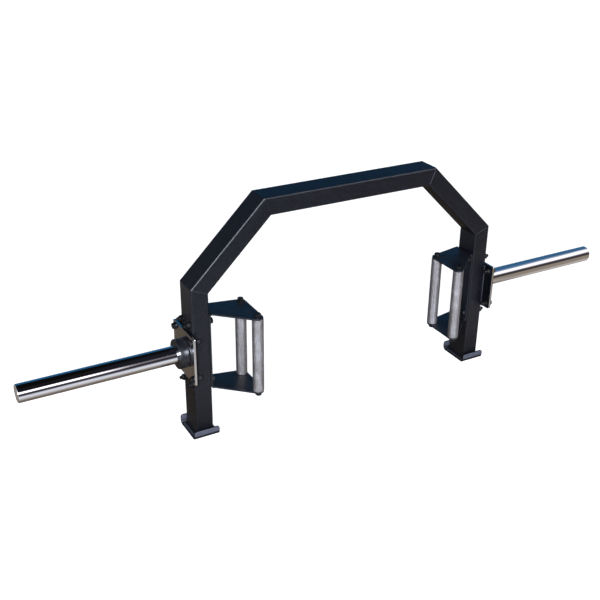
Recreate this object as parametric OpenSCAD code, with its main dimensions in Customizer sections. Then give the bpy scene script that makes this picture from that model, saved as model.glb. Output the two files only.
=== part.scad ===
// Open trap bar standing on its two feet.
// A welded arch of rectangular tube carries a handle bracket inside each leg
// and a bolted-on plate sleeve outside each leg.
// X runs along the sleeves, Y to the back, Z up; the floor is z = 0.

/* [Frame] */
// Height from the floor to the top of the arch
height = 672.5; // [640:0.5:720]
// Width over the outer faces of the legs
frame_w = 982; // [940:2:1040]
// Height at which a leg turns into its sloping tube, on the outside
shoulder_h = 456; // [440:0.5:480]
// Tube size across the frame
tube_w = 50.8; // [45:0.1:60]
// Tube size from front to back
tube_d = 76.2; // [72:0.1:80]
// Tube wall
tube_wall = 3; // [2:0.5:4]
// Outside corner radius of the tube
tube_r = 5; // [4.5:0.5:6]

/* [Feet] */
// Foot plate width, along the sleeves
foot_w = 76; // [66:1:90]
// Foot plate depth, over the two upturned lips
foot_d = 105; // [100:1:120]
// Height of the lips
foot_lip_h = 28; // [22:1:36]
// Rounding of the lips' upper corners
foot_corner_r = 7; // [4:0.5:9]

/* [Sleeves] */
// Height of the sleeves' axis above the floor
axis_h = 258; // [252:1:264]
// Outside diameter of the sleeve
sleeve_dia = 50; // [49:0.5:50]
// Length of the sleeve outside its flange
sleeve_len = 452; // [380:1:480]
// Wall of the sleeve tube
sleeve_wall = 6; // [4:0.5:8]
// Height and width of the square plates
plate_w = 140; // [136:1:144]
// Thickness of the chromed flange
flange_t = 6; // [5:0.5:8]
// Thickness of the black mounting plate
mount_t = 5; // [4:0.5:8]
// Stop collar diameter
collar_dia = 84; // [76:1:88]
// Stop collar length
collar_len = 24; // [18:1:30]
// Distance between the flange bolts from front to back
flange_pitch_y = 116; // [112:1:116]
// Distance between the flange bolts, upright
flange_pitch_z = 110; // [106:1:114]

/* [Handles] */
// Height over the two plates of a handle bracket
bracket_h = 230; // [226:1:240]
// Width of a bracket where it is bolted to the leg
bracket_w = 70; // [66:1:74]
// Distance of the grips from the leg's inner face
grip_reach = 109; // [95:1:120]
// Distance between the two grips of a bracket
grip_pitch = 106; // [90:1:116]
// Grip diameter
grip_dia = 32; // [28:0.5:34]
// Distance of the bracket bolts from the bracket's top and bottom
bracket_bolt_inset = 23.5; // [22:0.5:26]
// Distance between the bracket bolts from front to back
bracket_pitch_y = 48; // [44:1:50]

/* [Hidden] */
$fn = 64;

BLACK = [0.05, 0.05, 0.06];
CHROME = [0.85, 0.86, 0.88];
GRIP = [0.62, 0.62, 0.64];
DARK = [0.12, 0.12, 0.13];

// Plate stock and its bends
foot_t = 5;
bracket_t = 4.8;
foot_bend_r = 12;
bracket_bend_r = 9;
flange_corner_r = 3;
grip_end_r = grip_dia / 2 - 1;
bracket_flat = 10;

// M10 fasteners
bolt_r = 5;
hole_r = 5.5;
thread_r = bolt_r + 0.1;
hex_af = 16;
hex_corner_d = hex_af / cos(30);
head_h = 6.4;
head_rim = 0.95;
washer_r = 10;
washer_hole_r = 5.25;
washer_t = 2;
lock_washer_r = 9;
lock_washer_t = 2.2;
lock_washer_slit = 1;
nut_h = 10;
nut_hex_h = 8;
nut_dome_r = 7;
bolt_tip = 1;
thread_past_nut = 6;
grip_thread = 25;
weld_fit = 0.05;
slip_fit = 0.3;

// Ends of the sleeve and of the grips
sleeve_chamfer = 2;
seat_step = 0.5;
plug_t = 6;
plug_recess = 1.5;
collar_chamfer = 1.5;
grip_chamfer = 1.5;

// Arch outline, right half, as [x, z]
half_w = frame_w / 2;
mitre = tube_w * tan(22.5);
shoulder_out = [half_w, shoulder_h];
shoulder_in = [half_w - tube_w, shoulder_h - mitre];
top_half = half_w - (height - shoulder_h);
crown_out = [top_half, height];
crown_in = [top_half - mitre, height - tube_w];
leg_x = half_w - tube_w / 2;
web_x = half_w - tube_w;

// Plates and sleeve outwards from the leg
mount_x = half_w + mount_t;
flange_x = mount_x + flange_t;
sleeve_r = sleeve_dia / 2;
seat_r = sleeve_r - seat_step;
seat_len = flange_t + collar_len + slip_fit;
sleeve_end = flange_x + sleeve_len;

// Grips and the inside of their bracket
grip_x = web_x - grip_reach;
grip_len = bracket_h - 2 * bracket_t;
bracket_pitch_z = bracket_h - 2 * bracket_bolt_inset;

// The frame's middle plane, set so that the origin is the middle of the footprint
frame_y = (grip_pitch + grip_dia / 2 - plate_w / 2) / 2;

// A point past b on the line from a to b
function past(a, b, share) = b + share * (b - a);

// The two points where lines from p touch a circle round c: turn is 1 or -1
function touch(p, c, r, turn) =
    let (d = norm(p - c), a = atan2(p[1] - c[1], p[0] - c[0]) + turn * acos(r / d))
    c + r * [cos(a), sin(a)];

// Places things in the frame's middle plane, on the right or mirrored to the left
module on_side(side) {
    translate([0, frame_y, 0])
        scale_side(side)
            children();
}

module scale_side(side) {
    if (side < 0) {
        mirror([1, 0, 0])
            children();
    } else {
        children();
    }
}

// Puts a flat drawing upright across the frame: drawing x, y become Y, Z
module across(x0, thickness) {
    translate([x0, 0, 0])
        rotate([90, 0, 90])
            linear_extrude(thickness)
                children();
}

// Puts a flat drawing upright along the frame: drawing x, y become X, Z
module along(depth) {
    rotate([90, 0, 0])
        linear_extrude(depth, center = true)
            children();
}

module rounded_rect(w, d, r) {
    square([w - 2 * r, d], center = true);
    square([w, d - 2 * r], center = true);
    for (x = [-1, 1], y = [-1, 1])
        translate([x * (w / 2 - r), y * (d / 2 - r)])
            circle(r);
}

module tube_run(length) {
    linear_extrude(length, center = true)
        difference() {
            rounded_rect(tube_w, tube_d, tube_r);
            rounded_rect(tube_w - 2 * tube_wall, tube_d - 2 * tube_wall, tube_r - tube_wall);
        }
}

// Keeps what lies between two mitre cuts, each given as [inner point, outer point]
module between_cuts(low, high) {
    intersection() {
        children();
        along(2 * tube_d)
            polygon([past(low[0], low[1], 0.4), past(high[0], high[1], 0.4),
                past(high[1], high[0], 0.4), past(low[1], low[0], 0.4)]);
    }
}

module leg() {
    low = [[web_x, foot_t], [half_w, foot_t]];
    color(BLACK)
        difference() {
            between_cuts(low, [shoulder_in, shoulder_out])
                translate([leg_x, 0, shoulder_h / 2])
                    tube_run(2 * shoulder_h);
            bracket_holes(web_x - tube_w, 3 * tube_w);
        }
}

module slope() {
    mid = (shoulder_out + crown_out + shoulder_in + crown_in) / 4;
    color(BLACK)
        between_cuts([shoulder_in, shoulder_out], [crown_in, crown_out])
            translate([mid[0], 0, mid[1]])
                rotate([0, -45, 0])
                    tube_run(2 * norm(crown_out - shoulder_out));
}

module top_beam() {
    flip = [[-1, 0], [0, 1]];
    color(BLACK)
        translate([0, frame_y, 0])
            between_cuts([crown_in, crown_out], [crown_in * flip, crown_out * flip])
                translate([0, 0, height - tube_w / 2])
                    rotate([0, -90, 0])
                        tube_run(4 * top_half);
}

// One plate bent up at the front and at the back, with rounded upper corners
module foot() {
    color(BLACK)
        translate([leg_x, 0, 0])
            intersection() {
                across(-foot_w, 2 * foot_w)
                    difference() {
                        tray_section(foot_d, foot_bend_r, 0);
                        tray_section(foot_d, foot_bend_r, foot_t);
                    }
                along(2 * foot_d)
                    tab_outline();
            }
}

module tray_section(d, r, inset) {
    top = inset > 0 ? foot_lip_h + 1 : foot_lip_h;
    half = d / 2 - inset;
    bend = r - inset;
    translate([-half + bend, inset])
        square([2 * (half - bend), top - inset]);
    translate([-half, inset + bend])
        square([2 * half, top - inset - bend]);
    for (y = [-1, 1])
        translate([y * (half - bend), inset + bend])
            circle(bend);
}

module tab_outline() {
    r = foot_corner_r;
    translate([-foot_w / 2, 0])
        square([foot_w, foot_lip_h - r]);
    translate([-foot_w / 2 + r, 0])
        square([foot_w - 2 * r, foot_lip_h]);
    for (x = [-1, 1])
        translate([x * (foot_w / 2 - r), foot_lip_h - r])
            circle(r);
}

module flange_holes_2d() {
    for (y = [-1, 1], z = [-1, 1])
        translate([y * flange_pitch_y / 2, z * flange_pitch_z / 2])
            circle(hole_r);
}

module mount_plate() {
    color(BLACK)
        translate([0, 0, axis_h])
            across(half_w, mount_t)
                difference() {
                    rounded_rect(plate_w, plate_w, flange_corner_r);
                    flange_holes_2d();
                }
}

module flange() {
    color(CHROME)
        translate([0, 0, axis_h])
            across(mount_x, flange_t)
                difference() {
                    rounded_rect(plate_w, plate_w, flange_corner_r);
                    flange_holes_2d();
                    circle(seat_r + weld_fit);
                }
}

// Turns a half section, drawn as [radius, distance outwards], about the sleeves' axis
module on_axis(x0) {
    translate([x0, 0, axis_h])
        rotate([0, 90, 0])
            rotate_extrude()
                children();
}

// The tube's inner end is turned down a little: the collar sits there, held between
// the step and the flange, and the tube goes through the flange and is welded behind it
module sleeve() {
    full = flange_t + sleeve_len;
    inner = sleeve_r - sleeve_wall;
    color(CHROME)
        on_axis(mount_x)
            polygon([[inner, 0], [seat_r, 0], [seat_r, seat_len], [sleeve_r, seat_len],
                [sleeve_r, full - sleeve_chamfer], [sleeve_r - sleeve_chamfer, full],
                [inner, full]]);
}

module sleeve_plug() {
    r = sleeve_r - sleeve_wall - weld_fit;
    color(CHROME)
        on_axis(sleeve_end - plug_recess - plug_t)
            polygon([[0, 0], [r, 0], [r, plug_t], [0, plug_t]]);
}

module collar() {
    r = collar_dia / 2;
    bore = seat_r + slip_fit;
    c = collar_chamfer;
    color(DARK)
        on_axis(flange_x)
            polygon([[bore + c, 0], [r - c, 0], [r, c], [r, collar_len - c],
                [r - c, collar_len], [bore + c, collar_len], [bore, collar_len - c], [bore, c]]);
}

// Plan of the handle plates: straight off the leg, then drawn in to the two grips
module bracket_plan() {
    far = [grip_x, 0];
    near = [grip_x, -grip_pitch];
    flat_x = web_x - bracket_flat;
    half = bracket_w / 2;
    back = touch([flat_x, half], far, grip_end_r, 1);
    front = touch([flat_x, -half], near, grip_end_r, -1);
    polygon([[web_x, half], [flat_x, half], back, far, far - [grip_end_r, 0],
        near - [grip_end_r, 0], near, front, [flat_x, -half], [web_x, -half]]);
    for (c = [far, near])
        translate(c)
            circle(grip_end_r);
}

module channel_section(inset) {
    r = bracket_bend_r - inset;
    right = web_x - inset;
    half = bracket_h / 2 - inset;
    left = grip_x - 2 * grip_end_r - inset;
    translate([left, -half])
        square([right - r - left, 2 * half]);
    translate([left, -half + r])
        square([right - left, 2 * (half - r)]);
    for (z = [-1, 1])
        translate([right - r, z * (half - r)])
            circle(r);
}

module bracket_holes(x0, length) {
    for (y = [-1, 1], z = [-1, 1])
        translate([x0, y * bracket_pitch_y / 2, axis_h + z * bracket_pitch_z / 2])
            rotate([0, 90, 0])
                cylinder(r = hole_r, h = length);
}

module bracket() {
    color(BLACK)
        difference() {
            translate([0, 0, axis_h])
                intersection() {
                    linear_extrude(2 * bracket_h, center = true)
                        bracket_plan();
                    along(4 * grip_pitch)
                        difference() {
                            channel_section(0);
                            channel_section(bracket_t);
                        }
                }
            bracket_holes(web_x - 2 * bracket_t, 4 * bracket_t);
            for (y = [0, -grip_pitch])
                translate([grip_x, y, axis_h - bracket_h])
                    cylinder(r = hole_r, h = 2 * bracket_h);
        }
}

// Solid bar with chamfered ends and a threaded hole in each end
module grip(y) {
    r = grip_dia / 2;
    c = grip_chamfer;
    half = grip_len / 2;
    deep = grip_thread + 3;
    color(GRIP)
        translate([grip_x, y, axis_h])
            rotate_extrude()
                polygon([[0, deep - half], [thread_r, deep - half], [thread_r, -half],
                    [r - c, -half], [r, c - half], [r, half - c], [r - c, half],
                    [thread_r, half], [thread_r, half - deep], [0, half - deep]]);
}

// Hexagon with its outer corners turned off; it stands on z = 0
module hex_body(h) {
    corner = hex_corner_d / 2;
    rim = head_rim * hex_af / 2;
    drop = (corner - rim) * tan(30);
    intersection() {
        linear_extrude(h)
            circle(corner, $fn = 6);
        rotate_extrude()
            polygon([[0, 0], [corner, 0], [corner, h - drop], [rim, h], [0, h]]);
    }
}

// The head stands on z = 0 and the shank goes down
module hex_bolt(length) {
    hex_body(head_h);
    rotate_extrude()
        polygon([[0, 1], [bolt_r, 1], [bolt_r, bolt_tip - length],
            [bolt_r - bolt_tip, -length], [0, -length]]);
}

// Lock nut with a round insert collar; it stands on z = 0
module lock_nut() {
    difference() {
        union() {
            hex_body(nut_hex_h);
            cylinder(r = nut_dome_r, h = nut_h);
        }
        translate([0, 0, -1])
            cylinder(r = thread_r, h = nut_h + 2);
    }
}

module washer() {
    difference() {
        cylinder(r = washer_r, h = washer_t);
        translate([0, 0, -1])
            cylinder(r = washer_hole_r, h = washer_t + 2);
    }
}

// Split ring with a slanting slit
module lock_washer() {
    difference() {
        cylinder(r = lock_washer_r, h = lock_washer_t);
        translate([0, 0, -1])
            cylinder(r = washer_hole_r, h = lock_washer_t + 2);
        translate([0, 0, lock_washer_t / 2])
            rotate([20, 0, 0])
                translate([0, -lock_washer_slit / 2, -lock_washer_t * 2])
                    cube([2 * lock_washer_r, lock_washer_slit, lock_washer_t * 4]);
    }
}

// Four places in a rectangle round the sleeves' axis, facing out (1) or in (-1)
module four_places(x, pitch_y, pitch_z, facing) {
    for (y = [-1, 1], z = [-1, 1])
        translate([x, y * pitch_y / 2, axis_h + z * pitch_z / 2])
            rotate([0, facing * 90, 0])
                children();
}

module sleeve_bolts() {
    length = 2 * washer_t + flange_t + mount_t + nut_h + thread_past_nut;
    color(DARK)
        four_places(flange_x + washer_t, flange_pitch_y, flange_pitch_z, 1)
            hex_bolt(length);
}

module sleeve_washers() {
    color(DARK) {
        four_places(flange_x, flange_pitch_y, flange_pitch_z, 1)
            washer();
        four_places(half_w, flange_pitch_y, flange_pitch_z, -1)
            washer();
    }
}

module sleeve_nuts() {
    color(DARK)
        four_places(half_w - washer_t, flange_pitch_y, flange_pitch_z, -1)
            lock_nut();
}

module bracket_bolts() {
    length = 2 * washer_t + bracket_t + tube_w + nut_h + thread_past_nut;
    color(DARK)
        four_places(web_x - bracket_t - washer_t, bracket_pitch_y, bracket_pitch_z, -1)
            hex_bolt(length);
}

module bracket_washers() {
    color(DARK) {
        four_places(web_x - bracket_t, bracket_pitch_y, bracket_pitch_z, -1)
            washer();
        four_places(half_w, bracket_pitch_y, bracket_pitch_z, 1)
            washer();
    }
}

module bracket_nuts() {
    color(DARK)
        four_places(half_w + washer_t, bracket_pitch_y, bracket_pitch_z, 1)
            lock_nut();
}

// Above and below each grip, on the outside of the bracket's plates
module grip_ends(gap) {
    for (y = [0, -grip_pitch], up = [0, 180])
        translate([grip_x, y, axis_h])
            rotate([up, 0, 0])
                translate([0, 0, bracket_h / 2 + gap])
                    children();
}

module grip_bolts() {
    under_head = washer_t + lock_washer_t;
    color(DARK)
        grip_ends(under_head)
            hex_bolt(under_head + bracket_t + grip_thread);
}

module grip_washers() {
    color(DARK)
        grip_ends(0)
            washer();
}

module grip_lock_washers() {
    color(DARK)
        grip_ends(washer_t)
            lock_washer();
}

module leg_left() { on_side(-1) leg(); }
module leg_right() { on_side(1) leg(); }
module slope_left() { on_side(-1) slope(); }
module slope_right() { on_side(1) slope(); }
module foot_left() { on_side(-1) foot(); }
module foot_right() { on_side(1) foot(); }
module mount_plate_left() { on_side(-1) mount_plate(); }
module mount_plate_right() { on_side(1) mount_plate(); }
module flange_left() { on_side(-1) flange(); }
module flange_right() { on_side(1) flange(); }
module sleeve_left() { on_side(-1) sleeve(); }
module sleeve_right() { on_side(1) sleeve(); }
module sleeve_plug_left() { on_side(-1) sleeve_plug(); }
module sleeve_plug_right() { on_side(1) sleeve_plug(); }
module collar_left() { on_side(-1) collar(); }
module collar_right() { on_side(1) collar(); }
module bracket_left() { on_side(-1) bracket(); }
module bracket_right() { on_side(1) bracket(); }
module grip_low_left() { on_side(-1) grip(0); }
module grip_low_right() { on_side(1) grip(0); }
module grip_high_left() { on_side(-1) grip(-grip_pitch); }
module grip_high_right() { on_side(1) grip(-grip_pitch); }
module sleeve_bolts_left() { on_side(-1) sleeve_bolts(); }
module sleeve_bolts_right() { on_side(1) sleeve_bolts(); }
module sleeve_washers_left() { on_side(-1) sleeve_washers(); }
module sleeve_washers_right() { on_side(1) sleeve_washers(); }
module sleeve_nuts_left() { on_side(-1) sleeve_nuts(); }
module sleeve_nuts_right() { on_side(1) sleeve_nuts(); }
module bracket_bolts_left() { on_side(-1) bracket_bolts(); }
module bracket_bolts_right() { on_side(1) bracket_bolts(); }
module bracket_washers_left() { on_side(-1) bracket_washers(); }
module bracket_washers_right() { on_side(1) bracket_washers(); }
module bracket_nuts_left() { on_side(-1) bracket_nuts(); }
module bracket_nuts_right() { on_side(1) bracket_nuts(); }
module grip_bolts_left() { on_side(-1) grip_bolts(); }
module grip_bolts_right() { on_side(1) grip_bolts(); }
module grip_washers_left() { on_side(-1) grip_washers(); }
module grip_washers_right() { on_side(1) grip_washers(); }
module grip_lock_washers_left() { on_side(-1) grip_lock_washers(); }
module grip_lock_washers_right() { on_side(1) grip_lock_washers(); }

leg_left();
leg_right();
slope_left();
slope_right();
top_beam();
foot_left();
foot_right();
mount_plate_left();
mount_plate_right();
flange_left();
flange_right();
sleeve_left();
sleeve_right();
sleeve_plug_left();
sleeve_plug_right();
collar_left();
collar_right();
bracket_left();
bracket_right();
grip_low_left();
grip_low_right();
grip_high_left();
grip_high_right();
sleeve_bolts_left();
sleeve_bolts_right();
sleeve_washers_left();
sleeve_washers_right();
sleeve_nuts_left();
sleeve_nuts_right();
bracket_bolts_left();
bracket_bolts_right();
bracket_washers_left();
bracket_washers_right();
bracket_nuts_left();
bracket_nuts_right();
grip_bolts_left();
grip_bolts_right();
grip_washers_left();
grip_washers_right();
grip_lock_washers_left();
grip_lock_washers_right();
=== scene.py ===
"""Open trap bar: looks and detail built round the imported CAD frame.

X runs along the plate sleeves, Y to the back, Z up, in metres, as in the frame.
"""

from math import ceil, cos, hypot, pi, radians, sin, tan

import bmesh
import bpy
from mathutils import Matrix, Vector


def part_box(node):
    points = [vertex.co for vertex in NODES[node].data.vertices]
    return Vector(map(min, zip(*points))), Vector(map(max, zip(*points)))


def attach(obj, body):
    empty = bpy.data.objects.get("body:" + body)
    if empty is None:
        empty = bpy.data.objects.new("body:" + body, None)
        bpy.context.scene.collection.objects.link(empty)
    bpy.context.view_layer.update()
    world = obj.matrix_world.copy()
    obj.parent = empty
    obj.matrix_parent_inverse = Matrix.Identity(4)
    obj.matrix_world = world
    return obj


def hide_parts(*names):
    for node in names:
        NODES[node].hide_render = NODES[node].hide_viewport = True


bl_info = {
    "name": "Trap bar looks",
    "version": (1, 0, 0),
    "blender": (4, 5, 0),
    "location": "View3D > Sidebar > Trap bar",
    "description": "Finishes the packed trap bar: coats, chrome, knurl, fasteners and welds",
    "category": "Object",
}

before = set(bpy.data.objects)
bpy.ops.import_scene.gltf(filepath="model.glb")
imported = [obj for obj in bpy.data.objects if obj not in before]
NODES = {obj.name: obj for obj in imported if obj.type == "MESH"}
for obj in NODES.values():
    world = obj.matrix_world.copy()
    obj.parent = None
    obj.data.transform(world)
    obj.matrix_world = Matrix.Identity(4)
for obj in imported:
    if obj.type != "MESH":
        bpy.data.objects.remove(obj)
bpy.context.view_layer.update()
SIDES = {"left": -1, "right": 1}

MM = 0.001
# Sizes of the construction that no node's box gives
TUBE_W = 50.8 * MM
BRACKET_T = 4.8 * MM
SLEEVE_BORE = 19 * MM
COLLAR_BORE = 24.8 * MM
GRIP_HOLE_R = 4.4 * MM
# Points nearer than this are one: in a new mesh, and in a mesh of the frame
SAME = 1e-7
CAD_SAME = 2e-6
MID_Y = sum(corner.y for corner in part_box("leg_right")) / 2
AXIS_Z = sum(corner.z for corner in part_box("sleeve_right")) / 2
BACK = Vector((0, 1, 0))
# What faces are marked with for their finish: a foot's lip faces, which get painted light, and
# the cut side of a plate
LIP = "lip_face"
CUT = "cut_side"


# Sizes and colours
def length(name, about, default):
    return bpy.props.FloatProperty(
        name=name, description=about, default=default, min=0, max=2,
        unit="LENGTH", subtype="DISTANCE", precision=5)


def colour(name, about, default):
    return bpy.props.FloatVectorProperty(
        name=name, description=about, default=default, min=0, max=1,
        size=3, subtype="COLOR")


def share(name, about, default):
    return bpy.props.FloatProperty(
        name=name, description=about, default=default, min=0, max=1, subtype="FACTOR")


class TrapBarSizes(bpy.types.PropertyGroup):
    """Sizes of the detail that the looks add to the solids"""

    edge_round: length("Plate edges", "Rounding of the coated plates' edges", 0.9 * MM)
    chrome_edge: length("Flange edges", "Rounding of the chromed flanges' edges", 0.7 * MM)
    sleeve_edge: length("Sleeve end", "Rounding of the sleeves' outer ends", 2.0 * MM)
    collar_edge: length("Collar edges", "Rounding of the collars' edges", 1.6 * MM)
    knurl_pitch: length("Knurl pitch", "Width of one knurl diamond", 2.3 * MM)
    knurl_depth: length("Knurl depth", "Height of one knurl diamond", 0.27 * MM)
    thread_pitch: length("Thread pitch", "Pitch of the bolts' threads", 1.5 * MM)
    flange_pitch_y: length("Flange bolts, depth", "Front to back", 116 * MM)
    flange_pitch_z: length("Flange bolts, height", "Bottom to top", 110 * MM)
    bracket_pitch_y: length("Bracket bolts, depth", "Front to back", 48 * MM)
    bracket_pitch_z: length("Bracket bolts, height", "Bottom to top", 183 * MM)
    bead: length("Weld bead", "Radius of the beads at the feet and plates", 3.0 * MM)
    seam_bead: length("Seam bead", "Radius of the beads round the mitred corners", 1.7 * MM)
    ripple: length("Weld ripple", "Distance between the ripples of a bead", 2.6 * MM)


class TrapBarColours(bpy.types.PropertyGroup):
    """Colours and roughness of the finishes"""

    powder: colour("Powder coat", "Textured coat of tubes and feet", (0.0031, 0.0033, 0.0050))
    plate: colour("Plate coat", "Smoother coat of the brackets", (0.0070, 0.0085, 0.0120))
    chrome: colour("Chrome", "Sleeves and flanges", (0.80, 0.80, 0.81))
    grip: colour("Grips", "Knurled grips", (0.236, 0.220, 0.213))
    # The foot colour is the painted light on the lips' front and back faces, and the colour of
    # the pale strips beside the legs
    foot: colour("Foot coat", "Greyer coat of the foot plates", (0.062, 0.066, 0.088))
    collar: colour("Collar", "Stop collars", (0.0060, 0.0060, 0.0080))
    fastener: colour("Fasteners", "Bolts, nuts and washers", (0.004, 0.004, 0.0045))
    powder_rough: share("Powder roughness", "Roughness of the textured coat", 0.36)
    plate_rough: share("Plate roughness", "Roughness of the smoother coat", 0.36)
    chrome_rough: share("Chrome roughness", "Roughness of the chrome", 0.045)
    grip_rough: share("Grip roughness", "Roughness of the grips", 0.42)


def sizes():
    return bpy.context.scene.trap_bar_sizes


def colours():
    return bpy.context.scene.trap_bar_colours


# Node trees
def both_ways(operation):
    """An operator and its reflected form, which add the Math node of that operation."""
    return (lambda self, other: self.math(operation, self, other),
            lambda self, other: self.math(operation, other, self))


class Value:
    """A socket that takes part in sums like a number."""

    __add__, __radd__ = both_ways("ADD")
    __sub__, __rsub__ = both_ways("SUBTRACT")
    __mul__, __rmul__ = both_ways("MULTIPLY")
    __truediv__, __rtruediv__ = both_ways("DIVIDE")

    def __init__(self, tree, socket):
        self.tree = tree
        self.socket = socket

    def __abs__(self):
        return self.math("ABSOLUTE", self)

    def math(self, operation, first, second=0.0):
        return self.tree.add("ShaderNodeMath", {"operation": operation},
                             {0: first, 1: second})["Value"]

    def clipped(self, low, high):
        return self.math("MINIMUM", self.math("MAXIMUM", self, low), high)

    def above(self, edge, soft):
        """0 below the edge and 1 above it, with a soft step between."""
        return self.tree.add("ShaderNodeMapRange", {"interpolation_type": "SMOOTHSTEP"}, {
            "Value": self, "From Min": edge - soft, "From Max": edge + soft})["Result"]

    def between(self, low, low_soft, high, high_soft):
        """1 between two edges and 0 outside them, with soft steps."""
        return self.above(low, low_soft) * (1 - self.above(high, high_soft))


class Node:
    """One node of a tree: its outputs by name."""

    def __init__(self, tree, node):
        self.tree = tree
        self.node = node

    def __getitem__(self, name):
        found = [s for s in self.node.outputs if s.name == name and s.enabled]
        return Value(self.tree, found[0])


class Tree:
    """Adds nodes to a shader, world or geometry tree."""

    def __init__(self, tree):
        self.tree = tree
        tree.nodes.clear()

    def add(self, kind, settings=None, values=None):
        """A new node: its settings first, then the values or links of its sockets."""
        node = self.tree.nodes.new(kind)
        for name, value in (settings or {}).items():
            if name == "stops":
                ramp = node.color_ramp
                while len(ramp.elements) < len(value):
                    ramp.elements.new(1.0)
                for stop, (place, tint) in zip(ramp.elements, value):
                    stop.position = place
                    stop.color = (*tint, 1)
            else:
                setattr(node, name, value)
        for name, value in (values or {}).items():
            if isinstance(name, int):
                socket = node.inputs[name]
            else:
                socket = [s for s in node.inputs if s.name == name and s.enabled][0]
            if isinstance(value, Value):
                self.tree.links.new(value.socket, socket)
            elif socket.type == "RGBA":
                socket.default_value = (*value, 1)
            else:
                socket.default_value = value
        return Node(self, node)

    def mix(self, factor, first, second):
        """A mix of two colours."""
        return self.add("ShaderNodeMix", {"data_type": "RGBA"}, {
            "Factor": factor, "A": first, "B": second})["Result"]

    def shades(self, factor, tint, low, high):
        """A mix of two shares of one colour."""
        return self.mix(factor, [low * c for c in tint], [high * c for c in tint])

    def layered(self, tint, *layers):
        """A colour with layers over it, each a mask and the colour that it lets show."""
        for mask, layer in layers:
            tint = self.mix(mask, tint, layer)
        return tint

    def ramp(self, factor, *stops):
        return self.add("ShaderNodeValToRGB", {"stops": stops}, {"Fac": factor})["Color"]

    def split(self, vector):
        """The node that gives a vector's X, Y and Z."""
        return self.add("ShaderNodeSeparateXYZ", None, {"Vector": vector})

    def marked(self, name):
        """The value that marks the faces of a piece under a name."""
        return self.add("ShaderNodeAttribute", {"attribute_name": name})["Fac"]

    def noise(self, place, scale, detail=3.0, rough=0.5, stretch=None):
        if stretch:
            place = self.add("ShaderNodeMapping", None, {
                "Vector": place, "Scale": stretch})["Vector"]
        return self.add("ShaderNodeTexNoise", None, {
            "Vector": place, "Scale": scale, "Detail": detail, "Roughness": rough})["Fac"]

    def bump(self, height, strength, depth):
        return self.add("ShaderNodeBump", None, {
            "Strength": strength, "Distance": depth, "Height": height})["Normal"]

    def by_ray(self, lights, mirrored, seen):
        """A shader for plain light, one that mirrors see and one that the camera sees."""
        ray = self.add("ShaderNodeLightPath")
        other = self.add("ShaderNodeMixShader", None, {
            0: ray["Is Glossy Ray"], 1: lights, 2: mirrored})["Shader"]
        return self.add("ShaderNodeMixShader", None, {
            0: ray["Is Camera Ray"], 1: other, 2: seen})["Shader"]


def shader(name):
    """A new material: its tree and the object coordinates in metres."""
    material = bpy.data.materials.new(name)
    material.use_nodes = True
    tree = Tree(material.node_tree)
    place = tree.add("ShaderNodeTexCoord")["Object"]
    return material, tree, place


def finish_shader(material, tree, sockets):
    surface = tree.add("ShaderNodeBsdfPrincipled", None, sockets)["BSDF"]
    tree.add("ShaderNodeOutputMaterial", None, {"Surface": surface})
    return material


# Finishes
def powder_coat():
    """Fine textured powder coat: pimples under a millimetre on a dark blue-grey."""
    look = colours()
    material, tree, place = shader("powder_coat_textured")
    grain = tree.noise(place, 1100.0, detail=2.0, rough=0.6)
    cloud = tree.noise(place, 22.0)
    mottle = tree.noise(place, 270.0, rough=0.7)
    speck = grain.above(0.60, 0.09)
    pale = [2.6 * c + 0.003 for c in look.powder]
    tint = tree.shades(mottle.above(0.5, 0.14), look.powder, 0.2, 1.9)
    return finish_shader(material, tree, {
        "Base Color": tree.mix(speck * 0.75, tint, pale),
        "Roughness": look.powder_rough - 0.18 + 0.12 * cloud + 0.26 * mottle + 0.05 * speck,
        "Specular IOR Level": 0.32,
        "Normal": tree.bump(grain + 1.9 * mottle, 0.7, 0.3 * MM)})


def foot_coat():
    """The foot plates' coat: dark, with painted light on the lips' front and back faces above
    a painted shade near the floor, and paler strips near their ends.
    """
    look = colours()
    material, tree, place = shader("foot_coat_grey")
    grain = tree.noise(place, 900.0, detail=2.0, rough=0.6)
    scuff = tree.noise(place, 75.0, detail=4.0, rough=0.6)
    spot = tree.split(place)
    low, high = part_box("foot_right")
    half = (high.x - low.x) / 2
    aside = abs(abs(spot["X"]) - (low.x + high.x) / 2)
    ahead = abs(spot["Y"] - MID_Y)
    # Paler strips 4 to 9 mm in from each end of the plate, within 40 mm of its middle, beside
    # the leg
    rim = (aside.between(half - 9 * MM, MM, half - 4 * MM, MM)
           * (1 - ahead.above(40 * MM, 3 * MM)))
    # Painted light: the lips' faces that look to the front or back are paler, as where light
    # falls on them; below 13 mm they stay dark, a painted shade near the floor
    lip = tree.marked(LIP) * spot["Z"].above(13 * MM, MM)
    pale_strips_and_painted_lit_lips = rim.math("MAXIMUM", rim * 0.6, lip)
    tint = tree.shades(scuff.above(0.5, 0.2), look.foot, 0.85, 1.12)
    return finish_shader(material, tree, {
        # The foot colour shows only on the painted light and the pale strips; the rest stays
        # the dark powder colour
        "Base Color": tree.mix(pale_strips_and_painted_lit_lips, look.powder, tint),
        "Roughness": 0.42 + 0.12 * scuff,
        "Specular IOR Level": 0.4,
        "Normal": tree.bump(grain, 0.3, 0.2 * MM)})


def seam_coat():
    """The coat where it flows smooth over the welds of tubes and mounting plates, paler than
    the tube coat as a painted highlight along the beads.
    """
    material, tree, place = shader("seam_coat_smooth")
    cloud = tree.noise(place, 120.0)
    return finish_shader(material, tree, {
        # Painted highlight: 2.2 to 4.2 times the tube coat's colour, so the beads show as
        # light lines
        "Base Color": tree.shades(cloud, colours().powder, 2.2, 4.2),
        "Roughness": 0.36 + 0.10 * cloud,
        "Specular IOR Level": 0.4})


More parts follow.
